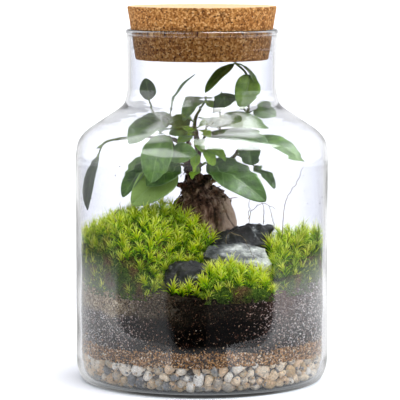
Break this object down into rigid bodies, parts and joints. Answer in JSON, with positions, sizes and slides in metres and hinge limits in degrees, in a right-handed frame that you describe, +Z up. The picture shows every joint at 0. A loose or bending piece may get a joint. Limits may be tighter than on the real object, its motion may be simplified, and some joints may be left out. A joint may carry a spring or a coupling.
{
  "type": "glass plant terrarium",
  "caption": "Shouldered glass jar with a tapered cork stopper, filled with gravel, grit, soil, moss cushions, slate and a small ginseng fig.",
  "frame": {"origin": "centre of the jar's foot, on the surface that it stands on", "axes": "+Z up through the jar and stopper; -Y towards the viewer, where the pale slate slab shows; +X to the viewer's right"},
  "size_m": [0.195, 0.195, 0.288],
  "materials": {
    "clear_glass": "clear, smooth, faintly grey-green in thick parts",
    "cork": "pressed granular cork, matte, with dark flecks",
    "gravel": "mixed tan, grey and white rounded pebbles",
    "grit": "fine orange-brown grit",
    "soil": "damp crumbly potting soil with pale specks",
    "moss": "soft bright yellow-green moss",
    "dark_slate": "charcoal slate, rough and layered",
    "pale_slate": "light grey slate, weathered",
    "bark": "grey-brown bark, rough",
    "leaf": "glossy mid-green leaves with a paler midrib"
  },
  "bodies": {
    "root": {"glass_jar": "clear_glass", "cork_stopper": "cork", "gravel_bed": "gravel", "grit_layer": "grit", "soil_bed": "soil", "moss_mound_left": "moss", "moss_mound_right": "moss", "moss_mound_front": "moss", "moss_mound_back": "moss", "slate_ridge": "dark_slate", "slate_slab": "pale_slate", "slate_front": "dark_slate", "ficus_trunk": "bark", "ficus_shoot_1": "leaf", "ficus_shoot_2": "leaf", "ficus_shoot_3": "leaf", "ficus_shoot_4": "leaf", "ficus_shoot_5": "leaf", "ficus_shoot_6": "leaf", "ficus_shoot_7": "leaf", "ficus_shoot_8": "leaf", "ficus_shoot_9": "leaf"}
  },
  "joints": []
}
